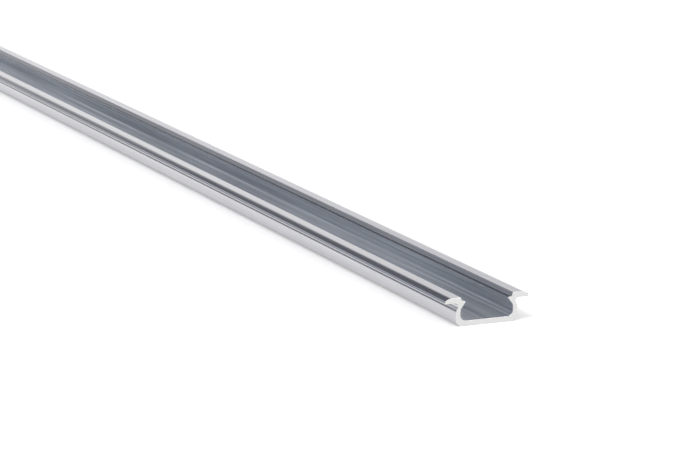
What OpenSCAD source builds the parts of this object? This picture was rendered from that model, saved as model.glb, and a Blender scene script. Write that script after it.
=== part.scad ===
// Recessed profile for LED strips: one bar of extruded aluminium, open at the top.
// The channel sinks into a slot and its two flanges cover the slot's edges. The strip
// is stuck to the floor, and a cover snaps under the two hooks below the flanges.
// X runs across the bar, Y along it and Z up. The origin is at the middle of the underside.

/* [Bar] */
// Length of the bar
bar_length = 1000; // [100:10:3000]

/* [Channel] */
// Width over the two outer walls
body_width = 16.2; // [15:0.1:22]
// Height from the underside to the tops of the flanges
profile_height = 7; // [6.6:0.1:12]
// Thickness of the floor
floor_t = 1.3; // [1:0.05:1.8]
// Thickness of the side walls
wall_t = 1.25; // [0.9:0.05:1.4]
// Outer radius along the two bottom edges
bottom_edge_r = 1.8; // [0.4:0.05:2]
// Inner radius between the floor and the walls
inner_corner_r = 1.5; // [0.3:0.05:1.7]

/* [Flanges] */
// Width over the two flanges
flange_span = 22; // [20:0.1:40]
// Thickness of the flanges
flange_t = 1.3; // [0.9:0.05:1.6]
// Radius of the wide curve with which the top of each flange rolls down to its edge
flange_roll_r = 2.5; // [0.8:0.1:3]
// Drop for each millimetre out where that curve meets the edge
flange_roll_slope = 0.75; // [0.5:0.05:1]
// Radius of the edge of each flange
flange_edge_r = 0.5; // [0.2:0.05:0.6]
// Radius of the lower edge of each flange
flange_lower_r = 0.2; // [0.1:0.05:0.3]

/* [Neck under the flanges] */
// Radius with which each wall starts to curve in
shoulder_r = 2; // [1:0.05:2.2]
// Step in for each millimetre of height where the wall leans in the most
neck_slope = 0.75; // [0.5:0.05:1]
// Radius with which the wall curves out again to the underside of the flange
neck_fillet_r = 0.85; // [0.3:0.05:1]

/* [Hooks for the cover] */
// How far the tip of each hook stands in from its wall
hook_reach = 1.24; // [1:0.01:1.6]
// Radius of the tip of each hook
hook_tip_r = 0.2; // [0.1:0.05:0.3]
// Step in for each millimetre of height along the underside of a hook
hook_slope = 0.75; // [0.6:0.05:1]
// Radius with which the underside of a hook runs into the wall
hook_foot_r = 1.5; // [0.5:0.05:2]
// Depth of the cover's seat below the tops of the flanges
seat_depth = 1; // [0.7:0.05:1.3]
// Width of the seat on each hook, from the tip to the lip
seat_width = 0.8; // [0.6:0.05:1]
// How far each lip leans out from the seat to the top
lip_draft = 0.4; // [0.1:0.05:0.5]

/* [Hidden] */
$fn = 96;

body_half = body_width / 2;
inner_half = body_half - wall_t;
flange_half = flange_span / 2;
flange_under_z = profile_height - flange_t;

// The top of each flange is flat, then rolls down in a wide arc that runs into the arc of the edge
roll_angle = atan(flange_roll_slope);
roll_room = flange_t - flange_lower_r - flange_edge_r * cos(roll_angle);
roll_r = min(flange_roll_r, roll_room / (1 - cos(roll_angle)));
roll_x = flange_half - flange_edge_r - (roll_r - flange_edge_r) * sin(roll_angle);
edge_z = profile_height - roll_r + (roll_r - flange_edge_r) * cos(roll_angle);

// Each wall runs into its flange in an S: two arcs that meet where the wall leans in the most
neck_angle = atan(neck_slope);
shoulder_x = body_half - shoulder_r;
fillet_x = shoulder_x + (shoulder_r + neck_fillet_r) * cos(neck_angle);
fillet_z = flange_under_z - neck_fillet_r;
shoulder_z = fillet_z - (shoulder_r + neck_fillet_r) * sin(neck_angle);
arcs_meet_z = shoulder_z + shoulder_r * sin(neck_angle);

tip_half = inner_half - hook_reach;
tip_centre_x = tip_half + hook_tip_r;
seat_z = profile_height - seat_depth;
tip_centre_z = seat_z - hook_tip_r;
seat_half = tip_half + seat_width;
lip_half = seat_half + lip_draft;
// The slanting underside of a hook touches its round tip above and the foot's arc below
slope_angle = atan(hook_slope);
slope_top_x = tip_centre_x - hook_tip_r * cos(slope_angle);
slope_top_z = tip_centre_z - hook_tip_r * sin(slope_angle);
foot_x = inner_half - hook_foot_r;
foot_z = slope_top_z - (inner_half - slope_top_x) / hook_slope - hook_foot_r * tan(slope_angle / 2);
slope_low_x = foot_x + hook_foot_r * cos(slope_angle);
slope_low_z = foot_z + hook_foot_r * sin(slope_angle);
// How far a shape runs past the face that trims it
beyond = 2;

aluminium_profile();

// The whole bar: its section, drawn across X and Z, pushed along Y
module aluminium_profile() {
    color([0.8, 0.81, 0.83])
        rotate([90, 0, 0])
            linear_extrude(height = bar_length, center = true)
                difference() {
                    union() {
                        channel_outline();
                        flange_outline();
                    }
                    channel_space();
                }
}

// Outside of the channel: round bottom edges, straight walls and shoulders that turn in
module channel_outline() {
    rounded_band(body_half, 0, shoulder_z + shoulder_r, bottom_edge_r, shoulder_r);
    difference() {
        band(fillet_x, arcs_meet_z, profile_height);
        pair_of_circles(fillet_x, fillet_z, neck_fillet_r);
    }
}

// The two flanges as one plate: round lower edges, and a flat top that rolls down to the edges
module flange_outline() {
    low_z = flange_under_z - beyond;
    intersection() {
        rounded_band(flange_half, flange_under_z, profile_height + beyond, flange_lower_r, flange_edge_r);
        union() {
            rounded_band(flange_half, low_z, edge_z + flange_edge_r, flange_lower_r, flange_edge_r);
            band(roll_x, low_z, profile_height);
            intersection() {
                band(roll_x + roll_r * sin(roll_angle), low_z, profile_height);
                pair_of_circles(roll_x, profile_height - roll_r, roll_r);
            }
        }
    }
}

// Open space inside: the strip's channel, the gap between the hooks and the cover's seat
module channel_space() {
    corner_z = floor_t + inner_corner_r;
    band(inner_half - inner_corner_r, floor_t, corner_z);
    pair_of_circles(inner_half - inner_corner_r, corner_z, inner_corner_r);
    symmetric_outline([
        [inner_half, corner_z],
        [inner_half, foot_z],
        [slope_low_x, slope_low_z],
        [slope_top_x, slope_top_z]
    ]);
    pair_of_circles(foot_x, foot_z, hook_foot_r);
    difference() {
        band(tip_centre_x, slope_top_z, profile_height);
        pair_of_circles(tip_centre_x, tip_centre_z, hook_tip_r);
    }
    symmetric_outline([
        [seat_half, seat_z],
        [lip_half, profile_height],
        [lip_half, profile_height + beyond]
    ]);
}

// A rectangle centred on the middle of the section, between two heights
module band(half_width, z_low, z_high) {
    translate([-half_width, z_low]) square([2 * half_width, z_high - z_low]);
}

// A band with round edges, of one radius at its bottom and another at its top
module rounded_band(half_width, z_low, z_high, low_r, high_r) {
    band(half_width - low_r, z_low, z_high - high_r);
    pair_of_circles(half_width - low_r, z_low + low_r, low_r);
    band(half_width, z_low + low_r, z_high - high_r);
    pair_of_circles(half_width - high_r, z_high - high_r, high_r);
    band(half_width - high_r, z_low + low_r, z_high);
}

// The same circle on both sides of the middle
module pair_of_circles(x, z, radius) {
    for (side = [-1, 1]) translate([side * x, z]) circle(radius);
}

// A closed outline from the points of its right side, going up, and their mirror images
module symmetric_outline(right_points) {
    count = len(right_points);
    left_points = [for (i = [count - 1:-1:0]) [-right_points[i][0], right_points[i][1]]];
    polygon(concat(right_points, left_points));
}
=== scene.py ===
import math

import bmesh
import bpy
from mathutils import Euler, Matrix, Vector


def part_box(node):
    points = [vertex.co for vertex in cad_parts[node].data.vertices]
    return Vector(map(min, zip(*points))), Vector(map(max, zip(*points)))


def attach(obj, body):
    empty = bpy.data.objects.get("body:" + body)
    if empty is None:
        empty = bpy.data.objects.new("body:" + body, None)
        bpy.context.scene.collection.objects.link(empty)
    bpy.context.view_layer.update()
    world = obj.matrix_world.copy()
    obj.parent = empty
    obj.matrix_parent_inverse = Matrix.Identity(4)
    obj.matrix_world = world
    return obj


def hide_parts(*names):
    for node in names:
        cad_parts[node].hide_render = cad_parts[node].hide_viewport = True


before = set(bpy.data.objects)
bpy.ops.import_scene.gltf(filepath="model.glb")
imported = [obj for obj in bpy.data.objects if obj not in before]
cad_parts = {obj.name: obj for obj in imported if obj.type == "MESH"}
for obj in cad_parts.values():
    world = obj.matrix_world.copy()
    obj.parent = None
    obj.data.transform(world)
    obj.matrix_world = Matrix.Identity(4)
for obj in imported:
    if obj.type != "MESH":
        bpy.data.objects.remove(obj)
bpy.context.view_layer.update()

MM = 0.001
NODE = "aluminium_profile"

# Section of the bar, as it is drawn in CAD
BODY_HALF = 8.1
FLOOR_T = 1.3
WALL_T = 1.25
BOTTOM_EDGE_R = 1.8
INNER_CORNER_R = 1.5
FLANGE_T = 1.3
FLANGE_ROLL_R = 2.5
FLANGE_ROLL_SLOPE = 0.75
FLANGE_EDGE_R = 0.5
FLANGE_LOWER_R = 0.2
SHOULDER_R = 2.0
NECK_SLOPE = 0.75
NECK_FILLET_R = 0.85
HOOK_REACH = 1.24
HOOK_TIP_R = 0.2
HOOK_SLOPE = 0.75
HOOK_FOOT_R = 1.5
SEAT_DEPTH = 1.0
SEAT_WIDTH = 0.8
LIP_DRAFT = 0.4

# Relief that only this script has: the edge of each flange leans in towards its top, and the
# lips, the corners of the seats and the sawn edges are broken
FLANGE_EDGE_LEAN_DEG = 25.0
LIP_EDGE_R = 0.12
SEAT_CORNER_R = 0.08
SAW_CHAMFER = 0.06
# Waves across the section that the die draws along the whole bar: length and depth
DIE_WAVES = ((3.1, 0.0024), (1.7, 0.0012), (0.83, 0.0005))

# The mesh: longest step along the section and round its arcs, and the space between its rings
POINT_STEP = 0.12
ARC_STEP_DEG = 7.5
RING_STEP = 25.0
# Points that are closer than this count as one
SAME_POINT = 0.0001
# How far a point may lie outside the channel's space and still belong to it
CHANNEL_MARGIN = 0.1

# Materials of the bar, in the order of its slots
DRAWN, CHANNEL, SAWN = 0, 1, 2

# Outside and inside the channel: smoothest and roughest line, darkest and palest tone, and how
# strongly the die's lines stand out. Inside the channel the tones are painted paler, bluer and more
# widely spread than outside. This is painted light on top of the metal's own random tone: it stands
# in for the bluish light and the streaky reflections in the channel
DRAWN_SHEEN = (0.15, 0.21)
DRAWN_TONES = ((0.505, 0.503, 0.525), (0.575, 0.573, 0.595))
DRAWN_RELIEF = 0.08
CHANNEL_SHEEN = (0.33, 0.45)
CHANNEL_TONES_WITH_PAINTED_LIGHT = ((0.41, 0.435, 0.475), (0.80, 0.825, 0.865))
CHANNEL_RELIEF = 0.6

# Noises of the drawn metal: scale on each axis, then size, detail and roughness
FINE_LINES = ((1, 0.004, 1), 4200, 3, 0.65)
WIDE_LINES = ((1, 0.012, 1), 900, 2, 0.5)
STREAKS = ((1, 0.005, 1), 2400, 2, 0.6)
CLOUDS = ((1, 0.05, 1), 260, 3, 0.5)
# How much wide lines, streaks and clouds each count in the tone, and the range that they cover
TONE_WEIGHTS = (0.4, 0.4, 0.2)
TONE_RANGE = (0.36, 0.64)
NOISE_RANGE = (0.3, 0.7)
# What the clouds take from the roughness and add to it
CLOUDS_SHEEN = (-0.01, 0.015)
ANISOTROPY = 0.5
STREAK_DEPTH = 0.00002
LINE_DEPTH = 0.00001
LINE_RELIEF = 0.2

# Sawn ends: the saw's arcs run round a point to the left of the bar and below it
SAW_CENTRE = (-0.045, 0, -0.12)
SAW_ARCS_SCALE = 700
SAW_ARCS_DISTORTION = 2.5
SAW_ARCS_DETAIL = 3
SAW_ARCS_DEPTH = 0.00001
SAW_ARCS_RELIEF = 0.3
SAW_GRAIN = ((1, 1, 1), 3000, 4)
SAW_SHEEN = (0.38, 0.5)
SAW_TONES = ((0.65, 0.645, 0.64), (0.73, 0.725, 0.72))

# Floor: a wide square, a little bright of itself
FLOOR_HALF = 30.0
FLOOR_NOISE = ((1, 1, 1), 3, 2)
FLOOR_TONES = ((0.86, 0.86, 0.86), (0.88, 0.88, 0.88))
FLOOR_ROUGHNESS = 0.9
FLOOR_SPECULAR = 0.1
FLOOR_GLOW = 0.25

# Camera of the photograph: lens and sensor, then its place in millimetres
LENS = 161.1
SENSOR = 36.0
CAMERA_PLACE = (-316.5, -1143.9, 177.4)
CAMERA_PITCH_DEG = 12.25
CAMERA_TURN_DEG = 23.6
CAMERA_REACH = (0.01, 100)

# The studio round the bar: light by the elevation in degrees, on each of its sides
SKY_STRENGTH = 1.5
DARK_BAND = (0.09, 0.10, 0.125)
CEILING = (0.85, 0.85, 0.85)
OVERHEAD = ((29, DARK_BAND), (46, CEILING), (90, CEILING))
BACKDROP = (
    (0, (1.2, 1.195, 1.21)),
    (9, (1.15, 1.145, 1.16)),
    (14, (0.97, 0.965, 0.98)),
    (22, DARK_BAND),
)
DIM_SIDE = (
    (0, (0.11, 0.12, 0.14)),
    (7, (0.14, 0.155, 0.185)),
    (10, (0.64, 0.66, 0.72)),
    (15, (0.46, 0.55, 0.75)),
    (19, (0.08, 0.10, 0.14)),
)
BEFORE_BAR = ((0, (0.65, 0.65, 0.65)), (35, (0.5, 0.5, 0.5)), (46, CEILING))
# Where the dim side lies, and where it begins and is complete, as the cosine of the angle to it
DIM_TURN_DEG = -44.0
DIM_EDGE = (0.80, 0.95)
# Where the camera's side ends and the backdrop is complete, as the share of Y in a direction
CAMERA_SIDE = (-0.2, 0.5)

# Square softboxes that face the bar: name, place and watts
SOFTBOX_SIDE = 1.0
SOFTBOXES = (
    ("softbox_left", (-1.35, -1.05, 2.46), 37),
    ("softbox_right", (1.35, -1.05, 2.46), 12),
)


# Section

def section_corners(height, flange_half):
    """Corners of the right half of the section with the radius of each, from underside to floor."""
    inner_half = BODY_HALF - WALL_T
    under_z = height - FLANGE_T
    seat_z = height - SEAT_DEPTH
    seat_half = inner_half - HOOK_REACH + SEAT_WIDTH

    # The neck leans in along a line that touches the shoulder's arc and the fillet's arc
    lean = math.atan(NECK_SLOPE)
    fillet_x = BODY_HALF - SHOULDER_R + (SHOULDER_R + NECK_FILLET_R) * math.cos(lean)
    touch_x = fillet_x - NECK_FILLET_R * math.cos(lean)
    touch_z = under_z - NECK_FILLET_R - NECK_FILLET_R * math.sin(lean)
    shoulder_z = touch_z - (BODY_HALF - touch_x) / NECK_SLOPE
    neck_x = touch_x - (under_z - touch_z) * NECK_SLOPE

    # The top of the flange rolls down in a wide arc, then turns steeper towards its lower edge
    roll = math.atan(FLANGE_ROLL_SLOPE)
    edge_lean = math.radians(FLANGE_EDGE_LEAN_DEG)
    turn = math.pi / 2 - edge_lean - roll
    edge_z = height - FLANGE_ROLL_R * (1 - math.cos(roll))
    edge_z -= FLANGE_EDGE_R * math.tan(turn / 2) * math.sin(roll)
    foot_x = flange_half + FLANGE_LOWER_R * (1 / math.tan(math.pi / 4 - edge_lean / 2) - 1)
    edge_x = foot_x - (edge_z - under_z) * math.tan(edge_lean)
    brow_x = edge_x - (height - edge_z) / FLANGE_ROLL_SLOPE

    # The hook's underside slants from its round tip to its foot on the wall
    slope = math.atan(HOOK_SLOPE)
    tip_centre_x = inner_half - HOOK_REACH + HOOK_TIP_R
    tip_centre_z = seat_z - HOOK_TIP_R
    slope_x = tip_centre_x - HOOK_TIP_R * math.cos(slope)
    slope_z = tip_centre_z - HOOK_TIP_R * math.sin(slope)
    foot_z = slope_z - (inner_half - slope_x) / HOOK_SLOPE
    tip_x = slope_x - (seat_z - slope_z) * HOOK_SLOPE

    return [
        (0.0, 0.0, 0.0),
        (BODY_HALF, 0.0, BOTTOM_EDGE_R),
        (BODY_HALF, shoulder_z, SHOULDER_R),
        (neck_x, under_z, NECK_FILLET_R),
        (foot_x, under_z, FLANGE_LOWER_R),
        (edge_x, edge_z, FLANGE_EDGE_R),
        (brow_x, height, FLANGE_ROLL_R),
        (seat_half + LIP_DRAFT, height, LIP_EDGE_R),
        (seat_half, seat_z, SEAT_CORNER_R),
        (tip_x, seat_z, HOOK_TIP_R),
        (inner_half, foot_z, HOOK_FOOT_R),
        (inner_half, FLOOR_T, INNER_CORNER_R),
        (0.0, FLOOR_T, 0.0),
    ]


def corner_arc(before, corner, after, radius):
    """Points of the arc that rounds one corner of the section."""
    to_before = (before - corner).normalized()
    to_after = (after - corner).normalized()
    half_open = to_before.angle(to_after) / 2
    middle = (to_before + to_after).normalized()
    centre = corner + middle * (radius / math.sin(half_open))
    start = corner + to_before * (radius / math.tan(half_open)) - centre
    turn = to_before.angle_signed(to_after)
    sweep = math.copysign(math.pi - abs(turn), turn)
    steps = max(2, math.ceil(math.degrees(abs(sweep)) / ARC_STEP_DEG))
    points = []
    for i in range(steps + 1):
        a = sweep * i / steps
        turned = Vector((
            start.x * math.cos(a) - start.y * math.sin(a),
            start.x * math.sin(a) + start.y * math.cos(a),
        ))
        points.append(centre + turned)
    return points


def right_half(height, flange_half):
    """Points along the right half of the section, none further apart than POINT_STEP."""
    corners = section_corners(height, flange_half)
    spots = [Vector((x, z)) for x, z, _ in corners]
    stops = [spots[0]]
    for i in range(1, len(corners) - 1):
        stops += corner_arc(spots[i - 1], spots[i], spots[i + 1], corners[i][2])
    stops.append(spots[-1])

    points = [stops[0]]
    for start, end in zip(stops, stops[1:]):
        reach = (end - start).length
        if reach < SAME_POINT:
            continue
        count = max(1, math.ceil(reach / POINT_STEP))
        points += [start.lerp(end, i / count) for i in range(1, count + 1)]
    return points


def outward_normals(loop):
    """Unit normals of a closed loop that runs anticlockwise."""
    count = len(loop)
    normals = []
    for i in range(count):
        along = (loop[(i + 1) % count] - loop[i - 1]).normalized()
        normals.append(Vector((along.y, -along.x)))
    return normals


def die_drawn(loop):
    """The loop with the shallow waves of the die, all of them below the true surface."""
    normals = outward_normals(loop)
    drawn = []
    run = 0.0
    for i, point in enumerate(loop):
        run += (point - loop[i - 1]).length if i else 0.0
        depth = sum(d * (1 - math.sin(2 * math.pi * run / w + w)) / 2 for w, d in DIE_WAVES)
        drawn.append(point - normals[i] * depth)
    return drawn


def section_loop(height, flange_half):
    """The whole section as one closed loop of points."""
    right = right_half(height, flange_half)
    left = [Vector((-p.x, p.y)) for p in reversed(right[1:-1])]
    return die_drawn(right + left)


# Bar

def ring_places(y_low, y_high):
    """Where the rings of points stand along the bar, apart from the two cut edges."""
    inner_low = y_low + SAW_CHAMFER
    inner_high = y_high - SAW_CHAMFER
    count = math.ceil((inner_high - inner_low) / RING_STEP)
    return [inner_low + (inner_high - inner_low) * i / count for i in range(count + 1)]


def add_ring(mesh, loop, y):
    """One ring of points: the section at a place along the bar."""
    return [mesh.verts.new((p.x * MM, y * MM, p.y * MM)) for p in loop]


def run_lengths(loop):
    """How far along the loop each point lies, and the whole way round."""
    runs = [0.0]
    for start, end in zip(loop, loop[1:] + loop[:1]):
        runs.append(runs[-1] + (end - start).length)
    return runs


def in_channel(point, height):
    """Whether a point of the section lies inside the channel, below the tips of the hooks."""
    reach = BODY_HALF - WALL_T + CHANNEL_MARGIN
    low_z = FLOOR_T - CHANNEL_MARGIN
    tip_z = height - SEAT_DEPTH - HOOK_TIP_R
    return abs(point.x) < reach and low_z < point.y < tip_z


def add_sides(mesh, uv, rings, loop, height):
    """The long faces between the rings, of which the first and the last strip are chamfers."""
    count = len(loop)
    last = len(rings) - 2
    runs = run_lengths(loop)
    inner = [in_channel(p, height) for p in loop]
    for k, (near, far) in enumerate(zip(rings, rings[1:])):
        for i in range(count):
            j = (i + 1) % count
            face = mesh.faces.new((near[i], near[j], far[j], far[i]))
            face.smooth = True
            if k in (0, last):
                face.material_index = SAWN
            elif inner[i] or inner[j]:
                face.material_index = CHANNEL
            else:
                face.material_index = DRAWN
            spans = (runs[i], runs[i + 1], runs[i + 1], runs[i])
            for corner, span in zip(face.loops, spans):
                corner[uv].uv = (corner.vert.co.y, span * MM)


def add_ends(mesh, uv, rings):
    """The two sawn faces, and sharp edges on both sides of their chamfers."""
    for ring in (rings[0], rings[-1]):
        face = mesh.faces.new(ring)
        face.material_index = SAWN
        for corner in face.loops:
            corner[uv].uv = (corner.vert.co.x, corner.vert.co.z)
    count = len(rings[0])
    for ring in (rings[0], rings[1], rings[-2], rings[-1]):
        for i in range(count):
            mesh.edges.get((ring[i], ring[(i + 1) % count])).smooth = False


def make_bar():
    """The whole bar as one closed mesh, in the place and the size of its CAD node."""
    low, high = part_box(NODE)
    height = high.z / MM
    loop = section_loop(height, high.x / MM)
    cut_loop = [p - n * SAW_CHAMFER for p, n in zip(loop, outward_normals(loop))]

    mesh = bmesh.new()
    uv = mesh.loops.layers.uv.new("UVMap")
    rings = [add_ring(mesh, cut_loop, low.y / MM)]
    rings += [add_ring(mesh, loop, y) for y in ring_places(low.y / MM, high.y / MM)]
    rings.append(add_ring(mesh, cut_loop, high.y / MM))
    add_sides(mesh, uv, rings, loop, height)
    add_ends(mesh, uv, rings)
    bmesh.ops.recalc_face_normals(mesh, faces=mesh.faces)

    data = bpy.data.meshes.new("profile_bar")
    mesh.to_mesh(data)
    mesh.free()
    bar = bpy.data.objects.new("profile_bar", data)
    bpy.context.collection.objects.link(bar)
    return bar


# Nodes of the materials

def new_material(name):
    """A fresh node material: its tree and its main shader."""
    material = bpy.data.materials.new(name)
    material.use_nodes = True
    tree = material.node_tree
    return material, tree, tree.nodes["Principled BSDF"]


def stretched_noise(tree, scale, size, detail, roughness=0.5):
    """Noise over the object's own coordinates, stretched by a scale for each axis."""
    place = tree.nodes.new("ShaderNodeTexCoord")
    mapping = tree.nodes.new("ShaderNodeMapping")
    mapping.inputs["Scale"].default_value = scale
    noise = tree.nodes.new("ShaderNodeTexNoise")
    noise.inputs["Scale"].default_value = size
    noise.inputs["Detail"].default_value = detail
    noise.inputs["Roughness"].default_value = roughness
    tree.links.new(place.outputs["Object"], mapping.inputs["Vector"])
    tree.links.new(mapping.outputs["Vector"], noise.inputs["Vector"])
    return noise.outputs["Fac"]


def mapped(tree, value, from_range, to_range):
    """The value moved from one range to another, and held inside it."""
    node = tree.nodes.new("ShaderNodeMapRange")
    node.inputs["From Min"].default_value = from_range[0]
    node.inputs["From Max"].default_value = from_range[1]
    node.inputs["To Min"].default_value = to_range[0]
    node.inputs["To Max"].default_value = to_range[1]
    tree.links.new(value, node.inputs["Value"])
    return node.outputs["Result"]


def maths(tree, operation, first, second):
    """One sum or product of two values, each a number or a socket."""
    node = tree.nodes.new("ShaderNodeMath")
    node.operation = operation
    for socket, value in zip(node.inputs, (first, second)):
        if isinstance(value, (int, float)):
            socket.default_value = value
        else:
            tree.links.new(value, socket)
    return node.outputs["Value"]


def weighted_sum(tree, values, weights):
    """The values added up, each times its weight."""
    shares = [maths(tree, "MULTIPLY", v, w) for v, w in zip(values, weights)]
    total = shares[0]
    for share in shares[1:]:
        total = maths(tree, "ADD", total, share)
    return total


def ramp(tree, value, stops):
    """A colour ramp through (place, colour) stops."""
    node = tree.nodes.new("ShaderNodeValToRGB")
    elements = node.color_ramp.elements
    while len(elements) < len(stops):
        elements.new(0.5)
    for element, (place, colour) in zip(elements, stops):
        element.position = place
        element.color = (*colour, 1)
    tree.links.new(value, node.inputs["Fac"])
    return node.outputs["Color"]


def bump(tree, height, distance, strength, under=None):
    """A bump from heights, on top of another one where that is given."""
    node = tree.nodes.new("ShaderNodeBump")
    node.inputs["Distance"].default_value = distance
    node.inputs["Strength"].default_value = strength
    tree.links.new(height, node.inputs["Height"])
    if under is not None:
        tree.links.new(under, node.inputs["Normal"])
    return node.outputs["Normal"]


# Materials

def extruded_aluminium(name, sheen, tones, relief):
    """Bare aluminium as it leaves the die: lines along the bar, a satin sheen and faint marks."""
    material, tree, shader = new_material(name)
    shader.inputs["Metallic"].default_value = 1.0
    shader.inputs["Anisotropic"].default_value = ANISOTROPY

    fine_lines = stretched_noise(tree, *FINE_LINES)
    wide_lines = stretched_noise(tree, *WIDE_LINES)
    streaks = stretched_noise(tree, *STREAKS)
    clouds = stretched_noise(tree, *CLOUDS)

    tone = weighted_sum(tree, (wide_lines, streaks, clouds), TONE_WEIGHTS)
    colour = ramp(tree, tone, list(zip(TONE_RANGE, tones)))
    tree.links.new(colour, shader.inputs["Base Color"])
    lined = mapped(tree, fine_lines, NOISE_RANGE, sheen)
    rough = maths(tree, "ADD", lined, mapped(tree, clouds, NOISE_RANGE, CLOUDS_SHEEN))
    tree.links.new(rough, shader.inputs["Roughness"])
    drawn_out = bump(tree, streaks, STREAK_DEPTH, relief)
    normal = bump(tree, fine_lines, LINE_DEPTH, LINE_RELIEF, drawn_out)
    tree.links.new(normal, shader.inputs["Normal"])
    return material


def sawn_aluminium():
    """The cut face: pale, with fine curved marks of the saw's teeth."""
    material, tree, shader = new_material("sawn_aluminium")
    shader.inputs["Metallic"].default_value = 1.0

    place = tree.nodes.new("ShaderNodeTexCoord")
    mapping = tree.nodes.new("ShaderNodeMapping")
    mapping.inputs["Location"].default_value = -Vector(SAW_CENTRE)
    tree.links.new(place.outputs["Object"], mapping.inputs["Vector"])
    arcs = tree.nodes.new("ShaderNodeTexWave")
    arcs.wave_type = "RINGS"
    arcs.rings_direction = "Y"
    arcs.inputs["Scale"].default_value = SAW_ARCS_SCALE
    arcs.inputs["Distortion"].default_value = SAW_ARCS_DISTORTION
    arcs.inputs["Detail"].default_value = SAW_ARCS_DETAIL
    tree.links.new(mapping.outputs["Vector"], arcs.inputs["Vector"])
    grain = stretched_noise(tree, *SAW_GRAIN)

    colour = ramp(tree, grain, list(zip(NOISE_RANGE, SAW_TONES)))
    tree.links.new(colour, shader.inputs["Base Color"])
    rough = mapped(tree, arcs.outputs["Fac"], (0, 1), SAW_SHEEN)
    tree.links.new(rough, shader.inputs["Roughness"])
    normal = bump(tree, arcs.outputs["Fac"], SAW_ARCS_DEPTH, SAW_ARCS_RELIEF)
    tree.links.new(normal, shader.inputs["Normal"])
    return material


def pale_floor():
    """A matt, nearly white surface."""
    material, tree, shader = new_material("pale_floor")
    shader.inputs["Roughness"].default_value = FLOOR_ROUGHNESS
    shader.inputs["Specular IOR Level"].default_value = FLOOR_SPECULAR
    shader.inputs["Emission Color"].default_value = (1, 1, 1, 1)
    shader.inputs["Emission Strength"].default_value = FLOOR_GLOW
    tone = stretched_noise(tree, *FLOOR_NOISE)
    colour = ramp(tree, tone, list(zip(NOISE_RANGE, FLOOR_TONES)))
    tree.links.new(colour, shader.inputs["Base Color"])
    return material


# Surroundings

def make_floor():
    """The floor that the bar lies on."""
    data = bpy.data.meshes.new("floor")
    turns = ((-1, -1), (1, -1), (1, 1), (-1, 1))
    corners = [(x * FLOOR_HALF, y * FLOOR_HALF, 0) for x, y in turns]
    data.from_pydata(corners, [], [(0, 1, 2, 3)])
    data.materials.append(pale_floor())
    floor = bpy.data.objects.new("floor", data)
    bpy.context.collection.objects.link(floor)


def sky_ramp(tree, height, levels):
    """A colour ramp over the sine of the elevation, through (degrees, colour) levels."""
    stops = []
    for elevation, colour in levels:
        stops.append((math.sin(math.radians(elevation)), [c / SKY_STRENGTH for c in colour]))
    return ramp(tree, height, stops)


def blend(tree, share, first, second):
    """Two colours mixed by a share of the second."""
    node = tree.nodes.new("ShaderNodeMix")
    node.data_type = "RGBA"
    tree.links.new(share, node.inputs["Factor"])
    tree.links.new(first, node.inputs["A"])
    tree.links.new(second, node.inputs["B"])
    return node.outputs["Result"]


def nearness(tree, direction, turn_deg):
    """The cosine of the angle between a direction and one on the horizon, turned from +Y."""
    turn = math.radians(turn_deg)
    node = tree.nodes.new("ShaderNodeVectorMath")
    node.operation = "DOT_PRODUCT"
    node.inputs[1].default_value = (math.sin(turn), math.cos(turn), 0)
    tree.links.new(direction, node.inputs[0])
    return node.outputs["Value"]


def make_world():
    """A pale backdrop behind the bar, a dim side to its left, and an even side at the camera."""
    world = bpy.data.worlds.new("studio")
    bpy.context.scene.world = world
    world.use_nodes = True
    tree = world.node_tree
    direction = tree.nodes.new("ShaderNodeTexCoord").outputs["Generated"]
    split = tree.nodes.new("ShaderNodeSeparateXYZ")
    tree.links.new(direction, split.inputs["Vector"])
    height = split.outputs["Z"]

    behind_bar = sky_ramp(tree, height, BACKDROP + OVERHEAD)
    left_of_bar = sky_ramp(tree, height, DIM_SIDE + OVERHEAD)
    before_bar = sky_ramp(tree, height, BEFORE_BAR)
    far_share = mapped(tree, split.outputs["Y"], CAMERA_SIDE, (0, 1))
    sides = blend(tree, far_share, before_bar, behind_bar)
    dim_share = mapped(tree, nearness(tree, direction, DIM_TURN_DEG), DIM_EDGE, (0, 1))
    colour = blend(tree, dim_share, sides, left_of_bar)
    tree.links.new(colour, tree.nodes["Background"].inputs["Color"])
    tree.nodes["Background"].inputs["Strength"].default_value = SKY_STRENGTH


def add_softbox(name, place, watts):
    """A square lamp that faces the middle of the bar."""
    data = bpy.data.lights.new(name, "AREA")
    data.shape = "RECTANGLE"
    data.size = SOFTBOX_SIDE
    data.size_y = SOFTBOX_SIDE
    data.energy = watts
    light = bpy.data.objects.new(name, data)
    light.location = place
    light.rotation_euler = (-Vector(place)).to_track_quat("-Z", "Y").to_euler()
    light.visible_camera = False
    bpy.context.collection.objects.link(light)


def make_camera():
    """The camera, as it stood for the photograph."""
    data = bpy.data.cameras.new("camera")
    data.lens = LENS
    data.sensor_width = SENSOR
    data.clip_start, data.clip_end = CAMERA_REACH
    camera = bpy.data.objects.new("camera", data)
    camera.location = Vector(CAMERA_PLACE) * MM
    pitch = math.radians(90 - CAMERA_PITCH_DEG)
    camera.rotation_euler = Euler((pitch, 0, -math.radians(CAMERA_TURN_DEG)), "XYZ")
    bpy.context.collection.objects.link(camera)
    bpy.context.scene.camera = camera


bpy.context.scene.view_settings.view_transform = "Standard"
make_camera()
make_world()
make_floor()
for softbox, place, watts in SOFTBOXES:
    add_softbox(softbox, place, watts)

bar = make_bar()
outside = extruded_aluminium("drawn_aluminium", DRAWN_SHEEN, DRAWN_TONES, DRAWN_RELIEF)
# The channel's copy of the same aluminium, its tones painted paler and bluer for the light
# reflected in the channel
inside = extruded_aluminium("channel_aluminium_painted_light", CHANNEL_SHEEN, CHANNEL_TONES_WITH_PAINTED_LIGHT, CHANNEL_RELIEF)
for material in (outside, inside, sawn_aluminium()):
    bar.data.materials.append(material)
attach(bar, "root")
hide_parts(NODE)
